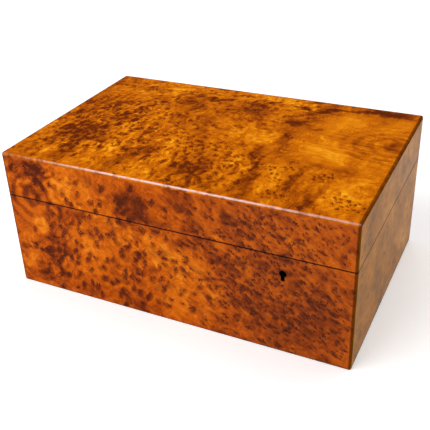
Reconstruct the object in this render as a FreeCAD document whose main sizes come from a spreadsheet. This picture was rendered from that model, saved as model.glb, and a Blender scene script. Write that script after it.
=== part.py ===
import FreeCAD, Part
import math
import os
from types import SimpleNamespace

import Sketcher

# A burl-veneered keepsake box with a hinged lid and a cut-in box lock.
# The origin is under the middle of the box, on the surface it stands on.
# X runs from left to right, Y from front to back, and Z up. Millimetres.

SIZES = {
    # Outside of the closed box
    "box_length": 300.0,
    "box_depth": 196.0,
    "box_height": 126.0,
    "lid_height": 39.0,
    "seam_gap": 0.6,
    "edge_round": 2.0,
    "foot_round": 1.0,
    # Wooden walls and panels
    "veneer_thickness": 2.5,
    "wall_thickness": 6.5,
    "floor_thickness": 6.0,
    "floor_seat": 4.0,
    "top_thickness": 6.0,
    "inner_veneer_thickness": 1.0,
    # Cedar liners, which stand proud of the rim and locate the lid
    "liner_thickness": 3.0,
    "liner_rise": 4.0,
    "liner_clearance": 0.4,
    "liner_round": 0.8,
    # Felt under the box and on its floor
    "underfelt_thickness": 1.0,
    "floor_felt_thickness": 1.5,
    "felt_clearance": 0.3,
    # Stop hinges
    "hinge_from_end": 40.0,
    "hinge_length": 30.0,
    "leaf_thickness": 1.2,
    "leaf_reach": 8.0,
    "axis_stand_off": 2.2,
    "knuckle_diameter": 4.0,
    "knuckle_count": 5,
    "knuckle_gap": 0.3,
    "barrel_clearance": 0.3,
    "hinge_pin_diameter": 2.0,
    "hinge_pin_clearance": 0.05,
    "hinge_pin_chamfer": 0.3,
    "lid_opening": 95.0,
    "heel_reach": 4.4,
    "heel_clearance": 0.1,
    # Countersunk screws, all alike
    "screw_diameter": 2.0,
    "screw_head": 4.0,
    "screw_length": 9.0,
    "screw_clearance": 0.05,
    "screw_slot_width": 0.6,
    "screw_slot_depth": 0.5,
    "hinge_screw_pitch": 10.0,
    "hinge_screw_inset": 5.0,
    # Keyhole
    "lock_from_end": 54.0,
    "keyhole_drop": 15.0,
    "keyhole_diameter": 5.8,
    "keyhole_slot": 3.0,
    "keyhole_tail": 6.2,
    # Lock case, cut into the front wall from the inside
    "lock_width": 40.0,
    "lock_height": 29.0,
    "lock_depth": 4.8,
    "lock_plate": 0.8,
    "mortise_clearance": 0.2,
    "selvedge_length": 54.0,
    "selvedge_width": 5.6,
    "selvedge_thickness": 1.5,
    "lock_screw_spacing": 47.0,
    "drill_pin_diameter": 2.0,
    "drill_pin_reach": 3.8,
    # Bolt, its guide stump and its spring
    "bolt_length": 34.0,
    "bolt_height": 4.0,
    "bolt_thickness": 2.4,
    "bolt_lift": 5.2,
    "bolt_throw": 3.0,
    "bolt_clearance": 0.3,
    "talon_width": 6.0,
    "talon_depth": 1.8,
    "finger_length": 2.8,
    "finger_height": 1.2,
    "arm_width": 2.2,
    "stump_diameter": 1.4,
    "stump_offset": 12.0,
    "spring_thickness": 0.5,
    "spring_length": 11.0,
    "spring_drop": 7.0,
    # Hooks of the link plate in the lid
    "hook_spacing": 20.0,
    "hook_width": 5.0,
    "hook_thickness": 1.6,
    "hook_lip": 1.0,
    "notch_depth": 2.6,
    "hook_clearance": 0.4,
    "finger_start": 0.8,
}


class Size:
    """A length that follows the sheet: the expression that gives it, and its present value."""

    def __init__(self, text, value):
        self.text = text
        self.value = float(value)

    def __add__(self, other):
        other = as_size(other)
        return Size(f"({self.text} + {other.text})", self.value + other.value)

    def __sub__(self, other):
        other = as_size(other)
        return Size(f"({self.text} - {other.text})", self.value - other.value)

    def __mul__(self, other):
        other = as_size(other)
        return Size(f"({self.text} * {other.text})", self.value * other.value)

    def __truediv__(self, other):
        other = as_size(other)
        return Size(f"({self.text} / {other.text})", self.value / other.value)

    def __neg__(self):
        return Size(f"(0 - {self.text})", -self.value)


def as_size(value):
    """A Size as it is, or a plain number as a Size."""
    return value if isinstance(value, Size) else Size(str(value), value)


def tangent(degrees):
    """The tangent of an angle given in degrees."""
    return Size(f"tan({degrees.text} * 1 deg)", math.tan(math.radians(degrees.value)))


doc = FreeCAD.newDocument("keepsake_box")
dims = doc.addObject("Spreadsheet::Sheet", "dims")
for row, (alias, number) in enumerate(SIZES.items(), start=1):
    dims.set(f"A{row}", alias)
    dims.set(f"B{row}", str(number))
    dims.setAlias(f"B{row}", alias)
doc.recompute()
s = SimpleNamespace(**{alias: Size(f"dims.{alias}", number) for alias, number in SIZES.items()})

parts = []


# Helpers for sketches, pads, pockets and primitives

def keep(piece):
    """Put a finished piece on the list of sub-parts to be written."""
    parts.append(piece)
    return piece


def rename(piece, label):
    """Give a finished piece the name of its sub-part."""
    piece.Label = label
    return keep(piece)


def new_body(name):
    """An empty body."""
    body = doc.addObject("PartDesign::Body", name)
    body.Label = name
    return body


def origin_plane(body, role):
    """One of a body's own origin planes, found by its role."""
    return next(item for item in body.Origin.OriginFeatures if item.Role == role)


def rectangle(left, low, right, high):
    """The four corners of an upright rectangle."""
    return [(left, low), (right, low), (right, high), (left, high)]


def add_polygon(sketch, corners):
    """Draw a closed polygon and tie each corner to the sheet."""
    points = [FreeCAD.Vector(as_size(u).value, as_size(v).value, 0) for u, v in corners]
    first = sketch.GeometryCount
    for index, point in enumerate(points):
        following = points[(index + 1) % len(points)]
        sketch.addGeometry(Part.LineSegment(point, following), False)
    for index in range(len(points)):
        following = (index + 1) % len(points)
        sketch.addConstraint(Sketcher.Constraint("Coincident", first + index, 2, first + following, 1))
    for index, (u, v) in enumerate(corners):
        for kind, size in (("DistanceX", as_size(u)), ("DistanceY", as_size(v))):
            number = sketch.addConstraint(Sketcher.Constraint(kind, first + index, 1, size.value))
            sketch.setExpression(f"Constraints[{number}]", size.text)


def draw(body, name, role, level, outlines):
    """A sketch on an origin plane, moved along the plane's normal to a level."""
    sketch = body.newObject("Sketcher::SketchObject", name)
    sketch.AttachmentSupport = [(origin_plane(body, role), "")]
    sketch.MapMode = "FlatFace"
    sketch.setExpression("AttachmentOffset.Base.z", level.text)
    for corners in outlines:
        add_polygon(sketch, corners)
    return sketch


def prism(body, name, role, low, high, outlines, cut=False):
    """Pad or pocket outlines between two levels, low and high along X, Y or Z.

    The normal of the front plane points along minus Y, so there the levels change sign and places.
    """
    low, high = as_size(low), as_size(high)
    level = -high if role == "XZ_Plane" else low
    sketch = draw(body, f"{name}_sketch", role, level, outlines)
    feature = body.newObject("PartDesign::Pocket" if cut else "PartDesign::Pad", name)
    feature.Profile = sketch
    feature.setExpression("Length", (high - low).text)
    feature.Reversed = cut
    return feature


def primitive(body, kind, name, role, place, sizes):
    """An additive or subtractive primitive on an origin plane.

    The place is given along the plane's two axes and its normal.
    """
    feature = body.newObject(f"PartDesign::{kind}", name)
    feature.AttachmentSupport = [(origin_plane(body, role), "")]
    feature.MapMode = "FlatFace"
    for axis, size in zip("xyz", place):
        feature.setExpression(f"AttachmentOffset.Base.{axis}", as_size(size).text)
    for key, size in sizes.items():
        feature.setExpression(key, as_size(size).text)
    return feature


def round_edges(body, name, radius, chosen):
    """Fillet the edges of a body's tip that a test picks."""
    doc.recompute()
    tip = body.Tip
    names = [f"Edge{i}" for i, edge in enumerate(tip.Shape.Edges, start=1) if chosen(edge)]
    feature = body.newObject("PartDesign::Fillet", name)
    feature.Base = (tip, names)
    feature.setExpression("Radius", radius.text)
    return feature


def block(name, low, high):
    """A rectangular panel between two opposite corners."""
    low = [as_size(value) for value in low]
    high = [as_size(value) for value in high]
    piece = doc.addObject("Part::Box", name)
    piece.Label = name
    for key, start, end in zip(("Length", "Width", "Height"), low, high):
        piece.setExpression(key, (end - start).text)
    for axis, start in zip("xyz", low):
        piece.setExpression(f"Placement.Base.{axis}", start.text)
    return piece


# Levels and faces that the pieces share

outer_x = s.box_length / 2
outer_y = s.box_depth / 2
core_x = outer_x - s.veneer_thickness
core_y = outer_y - s.veneer_thickness
inner_x = core_x - s.wall_thickness
inner_y = core_y - s.wall_thickness
lid_inner_x = inner_x + s.liner_clearance
lid_inner_y = inner_y + s.liner_clearance
liner_x = inner_x - s.liner_thickness
liner_y = inner_y - s.liner_thickness

ground = as_size(0)
seam = s.box_height - s.lid_height
rim = seam - s.seam_gap / 2
lid_rim = seam + s.seam_gap / 2
floor_under = s.underfelt_thickness
floor_top = floor_under + s.floor_thickness
liner_top = rim + s.liner_rise
veneer_under = s.box_height - s.veneer_thickness
panel_under = veneer_under - s.top_thickness

axis_y = outer_y + s.axis_stand_off
axis_z = seam
leaf_front = outer_y - s.leaf_reach
base_leaf_under = rim - s.leaf_thickness
lid_leaf_top = lid_rim + s.leaf_thickness
hinge_x = outer_x - s.hinge_from_end - s.hinge_length / 2
hinge_places = {"left": -hinge_x, "right": hinge_x}

lock_x = outer_x - s.lock_from_end
key_z = seam - s.keyhole_drop
case_under = rim - s.lock_height
case_front = -inner_y - s.lock_depth
selvedge_front = -inner_y - s.selvedge_width
selvedge_under = rim - s.selvedge_thickness
selvedge_left = lock_x - s.selvedge_length / 2
selvedge_right = lock_x + s.selvedge_length / 2
link_back = -lid_inner_y
link_top = lid_rim + s.selvedge_thickness
screw_row_y = outer_y - s.hinge_screw_inset
lock_screw_y = -inner_y - s.selvedge_width / 2


def wall_outline(side, near_x, near_y, far_x, far_y):
    """The plan of one mitred wall: near is its inner face, far its outer face."""
    plans = {
        "front": [(-far_x, -far_y), (far_x, -far_y), (near_x, -near_y), (-near_x, -near_y)],
        "back": [(far_x, far_y), (-far_x, far_y), (-near_x, near_y), (near_x, near_y)],
        "left": [(-far_x, far_y), (-far_x, -far_y), (-near_x, -near_y), (-near_x, near_y)],
        "right": [(far_x, -far_y), (far_x, far_y), (near_x, near_y), (near_x, -near_y)],
    }
    return plans[side]


def keyhole_cut(body, name, front, back):
    """The keyhole between two levels along Y: a round hole and the slot under it."""
    primitive(body, "SubtractiveCylinder", f"{name}_round", "XZ_Plane",
              (lock_x, key_z, -back), {"Radius": s.keyhole_diameter / 2, "Height": back - front})
    slot = rectangle(lock_x - s.keyhole_slot / 2, key_z - s.keyhole_tail,
                     lock_x + s.keyhole_slot / 2, key_z)
    prism(body, f"{name}_slot", "XZ_Plane", front, back, [slot], cut=True)


def leaf_recesses(body, low, high, start, end):
    """The shallow beds of the two hinge leaves, from one level along Z to another."""
    for side, centre in hinge_places.items():
        bed = rectangle(centre - s.hinge_length / 2, start, centre + s.hinge_length / 2, end)
        prism(body, f"{side}_leaf_bed", "XY_Plane", low, high, [bed], cut=True)


def pilot_holes(body, places, face, upward):
    """Pilot holes for screws whose heads lie flush with a face, into the wood above or below it."""
    start = face if upward else face - s.screw_length
    for index, (x, y) in enumerate(places, start=1):
        primitive(body, "SubtractiveCylinder", f"pilot_{index}", "XY_Plane", (x, y, start),
                  {"Radius": s.screw_diameter / 2 + s.screw_clearance, "Height": s.screw_length})


def hinge_screw_places():
    """The screws of both hinges: three in each leaf."""
    return [(centre + s.hinge_screw_pitch * step, screw_row_y)
            for centre in hinge_places.values() for step in (-1, 0, 1)]


def lock_screw_places():
    """The screws at the two ends of the lock's selvedge and of the link plate above it."""
    return [(lock_x - s.lock_screw_spacing / 2, lock_screw_y),
            (lock_x + s.lock_screw_spacing / 2, lock_screw_y)]


# The rounded outside, which gives every veneer its eased edges

outside = new_body("outside")
primitive(outside, "AdditiveBox", "outside_block", "XY_Plane", (-outer_x, -outer_y, ground),
          {"Length": s.box_length, "Width": s.box_depth, "Height": s.box_height})
round_edges(outside, "outside_round", s.edge_round,
            lambda edge: edge.BoundBox.ZMax > s.edge_round.value)
round_edges(outside, "outside_foot", s.foot_round,
            lambda edge: edge.BoundBox.ZMax < s.foot_round.value / 2)


def eased(slab, label):
    """A veneer: its slab inside the rounded outside."""
    piece = doc.addObject("Part::Common", f"{label}_eased")
    piece.Base = slab
    piece.Tool = outside
    return rename(piece, label)


# Base

for side in ("front", "back", "left", "right"):
    veneer = new_body(f"base_{side}_slab")
    prism(veneer, "slab", "XY_Plane", ground, rim, [wall_outline(side, core_x, core_y, outer_x, outer_y)])
    if side == "front":
        keyhole_cut(veneer, "keyhole", -outer_y, -core_y)
    if side == "back":
        leaf_recesses(veneer, base_leaf_under, rim, core_y, outer_y)
    eased(veneer, f"base_{side}_veneer")

    wall = keep(new_body(f"base_{side}_wall"))
    prism(wall, "wall", "XY_Plane", ground, rim, [wall_outline(side, inner_x, inner_y, core_x, core_y)])
    rabbet = rectangle(-inner_x - s.floor_seat, -inner_y - s.floor_seat,
                       inner_x + s.floor_seat, inner_y + s.floor_seat)
    prism(wall, "floor_rabbet", "XY_Plane", ground, floor_top, [rabbet], cut=True)
    if side == "front":
        mortise = rectangle(lock_x - s.lock_width / 2 - s.mortise_clearance,
                            case_under - s.mortise_clearance,
                            lock_x + s.lock_width / 2 + s.mortise_clearance, rim)
        prism(wall, "lock_mortise", "XZ_Plane", case_front - s.mortise_clearance, -inner_y,
              [mortise], cut=True)
        bed = rectangle(selvedge_left, selvedge_front, selvedge_right, -inner_y)
        prism(wall, "selvedge_bed", "XY_Plane", selvedge_under, rim, [bed], cut=True)
        keyhole_cut(wall, "keyhole", -core_y, -inner_y)
        pilot_holes(wall, lock_screw_places(), rim, upward=False)
    if side == "back":
        leaf_recesses(wall, base_leaf_under, rim, leaf_front, core_y)
        pilot_holes(wall, hinge_screw_places(), rim, upward=False)

    liner = keep(new_body(f"liner_{side}"))
    prism(liner, "liner", "XY_Plane", floor_top, liner_top,
          [wall_outline(side, liner_x, liner_y, inner_x, inner_y)])
    along = 0 if side in ("front", "back") else 1

    def is_top_edge(edge, along=along):
        """True for the two long edges at the top of a liner."""
        start, end = edge.Vertexes[0].Point, edge.Vertexes[-1].Point
        level = min(start.z, end.z) > liner_top.value - s.liner_round.value / 2
        return level and abs(start[1 - along] - end[1 - along]) < s.liner_round.value

    round_edges(liner, "liner_ease", s.liner_round, is_top_edge)

seat_x = inner_x + s.floor_seat
seat_y = inner_y + s.floor_seat
keep(block("base_floor", (-seat_x, -seat_y, floor_under), (seat_x, seat_y, floor_top)))
keep(block("base_felt",
           (-seat_x + s.felt_clearance, -seat_y + s.felt_clearance, ground),
           (seat_x - s.felt_clearance, seat_y - s.felt_clearance, floor_under)))
keep(block("floor_felt",
           (-liner_x + s.felt_clearance, -liner_y + s.felt_clearance, floor_top),
           (liner_x - s.felt_clearance, liner_y - s.felt_clearance, floor_top + s.floor_felt_thickness)))


# Lid

for side in ("front", "back", "left", "right"):
    veneer = new_body(f"lid_{side}_slab")
    prism(veneer, "slab", "XY_Plane", lid_rim, veneer_under,
          [wall_outline(side, core_x, core_y, outer_x, outer_y)])
    if side == "back":
        leaf_recesses(veneer, lid_rim, lid_leaf_top, core_y, outer_y)
    eased(veneer, f"lid_{side}_veneer")

    wall = keep(new_body(f"lid_{side}_wall"))
    prism(wall, "wall", "XY_Plane", lid_rim, panel_under,
          [wall_outline(side, lid_inner_x, lid_inner_y, core_x, core_y)])
    if side == "front":
        bed = rectangle(selvedge_left, selvedge_front, selvedge_right, link_back)
        prism(wall, "link_bed", "XY_Plane", lid_rim, link_top, [bed], cut=True)
        pilot_holes(wall, lock_screw_places(), lid_rim, upward=True)
    if side == "back":
        leaf_recesses(wall, lid_rim, lid_leaf_top, leaf_front, core_y)
        pilot_holes(wall, hinge_screw_places(), lid_rim, upward=True)

keep(block("lid_top_panel", (-core_x, -core_y, panel_under), (core_x, core_y, veneer_under)))
keep(block("lid_inner_veneer",
           (-lid_inner_x, -lid_inner_y, panel_under - s.inner_veneer_thickness),
           (lid_inner_x, lid_inner_y, panel_under)))
eased(block("lid_top_slab", (-outer_x, -outer_y, veneer_under), (outer_x, outer_y, s.box_height)),
      "lid_top_veneer")


# Hinges

knuckle_pitch = s.hinge_length / s.knuckle_count
lean = tangent((s.lid_opening - 90) / 2)
barrel_radius = s.knuckle_diameter / 2


def knuckles(first):
    """The start and end, from a hinge's left end, of every second knuckle."""
    for index in range(first, int(s.knuckle_count.value), 2):
        start = knuckle_pitch * index + s.knuckle_gap / 2
        yield index, start, knuckle_pitch * (index + 1) - s.knuckle_gap / 2


def add_knuckle(body, index, start, end, leaf_low, leaf_high):
    """One knuckle: its barrel and the strap that joins it to the leaf."""
    primitive(body, "AdditiveCylinder", f"barrel_{index}", "YZ_Plane", (axis_y, axis_z, start),
              {"Radius": barrel_radius, "Height": end - start})
    strap = rectangle(outer_y, leaf_low, axis_y, leaf_high)
    prism(body, f"strap_{index}", "YZ_Plane", start, end, [strap])


def finish_leaf(body, left, centre, face, upward):
    """Bore a leaf for its pin and countersink it for its three screws."""
    primitive(body, "SubtractiveCylinder", "bore", "YZ_Plane", (axis_y, axis_z, left),
              {"Radius": s.hinge_pin_diameter / 2 + s.hinge_pin_clearance, "Height": s.hinge_length})
    shank = s.screw_diameter / 2 + s.screw_clearance
    head = s.screw_head / 2 + s.screw_clearance
    low = face if upward else face - s.leaf_thickness
    cone_start = face if upward else face - (head - shank)
    for step in (-1, 0, 1):
        x = centre + s.hinge_screw_pitch * step
        primitive(body, "SubtractiveCylinder", f"hole_{step + 2}", "XY_Plane", (x, screw_row_y, low),
                  {"Radius": shank, "Height": s.leaf_thickness})
        primitive(body, "SubtractiveCone", f"countersink_{step + 2}", "XY_Plane",
                  (x, screw_row_y, cone_start),
                  {"Radius1": head if upward else shank, "Radius2": shank if upward else head,
                   "Height": head - shank})


for side, centre in hinge_places.items():
    left = centre - s.hinge_length / 2
    right = centre + s.hinge_length / 2
    bed = rectangle(left, leaf_front, right, outer_y)

    base_leaf = keep(new_body(f"hinge_{side}_base_leaf"))
    prism(base_leaf, "leaf", "XY_Plane", base_leaf_under, rim, [bed])
    heel_low = axis_z - barrel_radius
    for index, start, end in knuckles(0):
        add_knuckle(base_leaf, index, left + start, left + end, base_leaf_under, rim)
        heel_end = barrel_radius + s.barrel_clearance
        heel = [(axis_y, heel_low), (axis_y + heel_end, heel_low),
                (axis_y + heel_end, axis_z - s.heel_clearance - lean * heel_end),
                (axis_y, axis_z - s.heel_clearance)]
        prism(base_leaf, f"heel_{index}", "YZ_Plane", left + start, left + end, [heel])
    tail_start = barrel_radius + s.barrel_clearance
    tail = [(axis_y + tail_start, heel_low), (axis_y + s.heel_reach, heel_low),
            (axis_y + s.heel_reach, axis_z - s.heel_clearance - lean * s.heel_reach),
            (axis_y + tail_start, axis_z - s.heel_clearance - lean * tail_start)]
    prism(base_leaf, "tail", "YZ_Plane", left, right, [tail])
    finish_leaf(base_leaf, left, centre, rim, upward=False)

    lid_leaf = keep(new_body(f"hinge_{side}_lid_leaf"))
    prism(lid_leaf, "leaf", "XY_Plane", lid_rim, lid_leaf_top, [bed])
    for index, start, end in knuckles(1):
        add_knuckle(lid_leaf, index, left + start, left + end, lid_rim, lid_leaf_top)
        heel_face = outer_y + s.barrel_clearance
        heel = [(heel_face, lid_rim), (axis_y, axis_z),
                (axis_y - lean * s.heel_reach, axis_z + s.heel_reach),
                (heel_face, axis_z + s.heel_reach)]
        prism(lid_leaf, f"heel_{index}", "YZ_Plane", left + start, left + end, [heel])
    finish_leaf(lid_leaf, left, centre, lid_rim, upward=True)

    pin = keep(new_body(f"hinge_{side}_pin"))
    primitive(pin, "AdditiveCylinder", "pin", "YZ_Plane", (axis_y, axis_z, left),
              {"Radius": s.hinge_pin_diameter / 2, "Height": s.hinge_length})
    doc.recompute()
    rod = pin.Tip
    ends = [f"Edge{i}" for i, edge in enumerate(rod.Shape.Edges, start=1)
            if isinstance(edge.Curve, Part.Circle)]
    chamfer = pin.newObject("PartDesign::Chamfer", "pin_ends")
    chamfer.Base = (rod, ends)
    chamfer.setExpression("Size", s.hinge_pin_chamfer.text)


# Screws: one pattern, and groups of it turned and placed

screw = new_body("screw_pattern")
head_height = s.screw_head / 2 - s.screw_diameter / 2
primitive(screw, "AdditiveCylinder", "shank", "XY_Plane", (0, 0, -s.screw_length),
          {"Radius": s.screw_diameter / 2, "Height": s.screw_length})
primitive(screw, "AdditiveCone", "head", "XY_Plane", (0, 0, -head_height),
          {"Radius1": s.screw_diameter / 2, "Radius2": s.screw_head / 2, "Height": head_height})
slot = rectangle(-s.screw_head, -s.screw_slot_width / 2, s.screw_head, s.screw_slot_width / 2)
prism(screw, "slot", "XY_Plane", -s.screw_slot_depth, ground, [slot], cut=True)
doc.recompute()


def screw_group(label, places, face, upward):
    """Screws whose heads lie flush with a face, points up or down, as one group of solids."""
    turn = FreeCAD.Rotation(FreeCAD.Vector(1, 0, 0), 180 if upward else 0)
    solids = []
    for x, y in places:
        solid = screw.Shape.copy()
        solid.Placement = FreeCAD.Placement(FreeCAD.Vector(x.value, y.value, 0), turn)
        solids.append(solid)
    group = doc.addObject("Part::Feature", label)
    group.Shape = Part.makeCompound(solids)
    group.setExpression("Placement.Base.z", face.text)
    return rename(group, label)


screw_group("hinge_base_screws", hinge_screw_places(), rim, upward=False)
screw_group("hinge_lid_screws", hinge_screw_places(), lid_rim, upward=True)
screw_group("lock_screws", lock_screw_places(), rim, upward=False)
screw_group("link_plate_screws", lock_screw_places(), lid_rim, upward=True)


def countersinks(body, face, upward):
    """The two countersunk screw holes of a plate as thick as the selvedge."""
    shank = s.screw_diameter / 2 + s.screw_clearance
    head = s.screw_head / 2 + s.screw_clearance
    low = face if upward else face - s.selvedge_thickness
    cone_start = face if upward else face - (head - shank)
    for index, (x, y) in enumerate(lock_screw_places(), start=1):
        primitive(body, "SubtractiveCylinder", f"hole_{index}", "XY_Plane", (x, y, low),
                  {"Radius": shank, "Height": s.selvedge_thickness})
        primitive(body, "SubtractiveCone", f"countersink_{index}", "XY_Plane", (x, y, cone_start),
                  {"Radius1": head if upward else shank, "Radius2": shank if upward else head,
                   "Height": head - shank})


# Lock

case_left = lock_x - s.lock_width / 2
case_right = lock_x + s.lock_width / 2
cap_back = case_front + s.lock_plate
mid_y = -inner_y - s.lock_depth / 2
hook_places = [lock_x - s.hook_spacing / 2, lock_x + s.hook_spacing / 2]
hook_front = mid_y - s.hook_thickness / 2
hook_back = mid_y + s.hook_thickness / 2
bolt_front = mid_y - s.bolt_thickness / 2
bolt_back = mid_y + s.bolt_thickness / 2
bolt_under = key_z + s.bolt_lift
bolt_top = bolt_under + s.bolt_height
hook_under = bolt_top + s.hook_clearance
notch_under = hook_under + s.hook_lip
finger_under = notch_under + s.bolt_clearance
finger_top = finger_under + s.finger_height
notch_top = finger_top + s.bolt_clearance

case = keep(new_body("lock_case"))
prism(case, "case", "XZ_Plane", cap_back, -inner_y,
      [rectangle(case_left, case_under, case_right, selvedge_under)])
prism(case, "case_inside", "XZ_Plane", cap_back, -inner_y - s.lock_plate,
      [rectangle(case_left + s.lock_plate, case_under + s.lock_plate,
                 case_right - s.lock_plate, selvedge_under)], cut=True)
prism(case, "selvedge", "XY_Plane", selvedge_under, rim,
      [rectangle(selvedge_left, selvedge_front, selvedge_right, -inner_y)])
for index, centre in enumerate(hook_places, start=1):
    opening = rectangle(centre - s.hook_width / 2 - s.hook_clearance, hook_front - s.hook_clearance,
                        centre + s.hook_width / 2 + s.hook_clearance, hook_back + s.hook_clearance)
    prism(case, f"hook_slot_{index}", "XY_Plane", selvedge_under, rim, [opening], cut=True)
countersinks(case, rim, upward=False)

cap = keep(new_body("lock_cap"))
prism(cap, "cap", "XZ_Plane", case_front, cap_back,
      [rectangle(case_left, case_under, case_right, selvedge_under)])
keyhole_cut(cap, "keyhole", case_front, cap_back)

drill_pin = keep(new_body("lock_drill_pin"))
primitive(drill_pin, "AdditiveCylinder", "drill_pin", "XZ_Plane",
          (lock_x, key_z, inner_y + s.lock_plate),
          {"Radius": s.drill_pin_diameter / 2, "Height": s.drill_pin_reach - s.lock_plate})

stump_x = lock_x + s.stump_offset
stump = keep(new_body("bolt_stump"))
primitive(stump, "AdditiveCylinder", "stump", "XZ_Plane",
          (stump_x, bolt_under + s.bolt_height / 2, inner_y + s.lock_plate),
          {"Radius": s.stump_diameter / 2, "Height": s.lock_depth - s.lock_plate * 2})

bolt = keep(new_body("lock_bolt"))
bolt_centre = lock_x - s.bolt_throw / 2
prism(bolt, "bar", "XZ_Plane", bolt_front, bolt_back,
      [rectangle(bolt_centre - s.bolt_length / 2, bolt_under, bolt_centre + s.bolt_length / 2, bolt_top)])
for index, centre in enumerate(hook_places, start=1):
    tip = centre - s.hook_width / 2 - s.finger_start
    root = tip - s.finger_length
    arm = [(root - s.arm_width, bolt_top), (root, bolt_top), (root, finger_under), (tip, finger_under),
           (tip, finger_top), (root - s.arm_width, finger_top)]
    prism(bolt, f"arm_{index}", "XZ_Plane", bolt_front, bolt_back, [arm])
prism(bolt, "talon", "XZ_Plane", bolt_front, bolt_back,
      [rectangle(bolt_centre - s.talon_width / 2, bolt_under,
                 bolt_centre + s.talon_width / 2, bolt_under + s.talon_depth)], cut=True)
slot_half = s.stump_diameter / 2 + s.bolt_clearance
prism(bolt, "guide_slot", "XZ_Plane", bolt_front, bolt_back,
      [rectangle(stump_x - s.bolt_throw - slot_half, bolt_under + s.bolt_height / 2 - slot_half,
                 stump_x + slot_half, bolt_under + s.bolt_height / 2 + slot_half)], cut=True)

spring = keep(new_body("bolt_spring"))
spring_left = case_left + s.lock_plate
spring_top = bolt_under - s.bolt_clearance
spring_inside = spring_left + s.spring_thickness
spring_tip = spring_left + s.spring_length
strip = [(spring_left, spring_top - s.spring_drop), (spring_inside, spring_top - s.spring_drop),
         (spring_inside, spring_top - s.spring_thickness), (spring_tip, spring_top - s.spring_thickness),
         (spring_tip, spring_top), (spring_left, spring_top)]
prism(spring, "strip", "XZ_Plane", bolt_front, bolt_back, [strip])

link = keep(new_body("link_plate"))
prism(link, "plate", "XY_Plane", lid_rim, link_top,
      [rectangle(selvedge_left, selvedge_front, selvedge_right, link_back)])
for index, centre in enumerate(hook_places, start=1):
    left = centre - s.hook_width / 2
    right = centre + s.hook_width / 2
    hook = [(left, hook_under), (right, hook_under), (right, lid_rim), (left, lid_rim),
            (left, notch_top), (left + s.notch_depth, notch_top),
            (left + s.notch_depth, notch_under), (left, notch_under)]
    prism(link, f"hook_{index}", "XZ_Plane", hook_front, hook_back, [hook])
countersinks(link, lid_rim, upward=True)


# Recompute, test every object and write one file for each sub-part

doc.recompute()
faults = [item.Label for item in doc.Objects if "Invalid" in item.State or "Error" in item.State]
for piece in parts:
    if piece.Shape.isNull() or not piece.Shape.isValid():
        faults.append(piece.Label)
if faults:
    raise RuntimeError(f"these objects failed: {sorted(set(faults))}")

os.makedirs("parts", exist_ok=True)
for piece in parts:
    piece.Shape.exportStep(os.path.join("parts", f"{piece.Label}.step"))
print(len(parts), "sub-parts written")
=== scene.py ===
"""A hinged keepsake box in burl veneer, dressed for its pictures.

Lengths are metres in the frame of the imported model: x runs along the front from left to right, y towards the back
and z up. The figure of the veneer is laid out in centimetres on each face, because its marks are about that size.
"""

import logging
import math
from dataclasses import dataclass
from enum import Enum

import bpy
import numpy as np
from mathutils import Matrix, Vector


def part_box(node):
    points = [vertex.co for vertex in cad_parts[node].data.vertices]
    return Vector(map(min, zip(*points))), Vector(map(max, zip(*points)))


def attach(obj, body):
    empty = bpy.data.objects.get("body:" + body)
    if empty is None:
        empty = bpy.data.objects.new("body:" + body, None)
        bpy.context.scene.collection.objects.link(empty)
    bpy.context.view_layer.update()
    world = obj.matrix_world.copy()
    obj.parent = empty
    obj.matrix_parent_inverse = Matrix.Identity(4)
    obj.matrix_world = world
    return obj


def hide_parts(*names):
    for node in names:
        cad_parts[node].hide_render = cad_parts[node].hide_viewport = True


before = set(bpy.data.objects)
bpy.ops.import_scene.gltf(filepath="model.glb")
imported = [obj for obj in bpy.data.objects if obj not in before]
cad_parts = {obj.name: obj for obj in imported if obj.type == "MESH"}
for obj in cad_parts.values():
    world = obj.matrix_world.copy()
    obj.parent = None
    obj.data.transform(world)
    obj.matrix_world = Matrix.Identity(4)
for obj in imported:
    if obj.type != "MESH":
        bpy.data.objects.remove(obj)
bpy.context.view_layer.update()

LOG = logging.getLogger("keepsake_box")
CM = 100.0  # metres to centimetres
ORIGIN = (0.0, 0.0, 0.0)
THROUGH = 50.0  # centimetres: so long a unit through the face that a patch is as good as flat
SEAM_UP = 8.70  # centimetres from the floor to the cut between base and lid
SEAM_BAND = (0.035, 0.08)  # centimetres from the cut over which its painted shade line fades
EDGE_BAND = (-0.25, -0.16)  # centimetres from the face's end over which its eased edge darkens
FOOT_BAND = (0.08, 0.16)  # centimetres from the floor over which the painted shade along the foot fades
EDGE_SHARE = 0.68  # how far the eased edges darken
KEY_PLACE = (0.096, -0.0979, 0.0700)  # metres: middle of the keyhole, just behind the face
KEY_REACH = 0.0055  # metres from there, past the ends of its slot

Socket = bpy.types.NodeSocket
Colour = tuple[float, float, float]


def tone(red: int, green: int, blue: int) -> Colour:
    """Gives the linear colour of a tone named in display values.

    Args:
        red: Red, 0 to 255.
        green: Green, 0 to 255.
        blue: Blue, 0 to 255.

    Returns:
        The linear red, green and blue, by the sRGB curve.
    """
    shares = np.array([red, green, blue]) / 255.0
    linear = np.where(shares <= 0.04045, shares / 12.92, ((shares + 0.055) / 1.055) ** 2.4)
    return float(linear[0]), float(linear[1]), float(linear[2])


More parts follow.
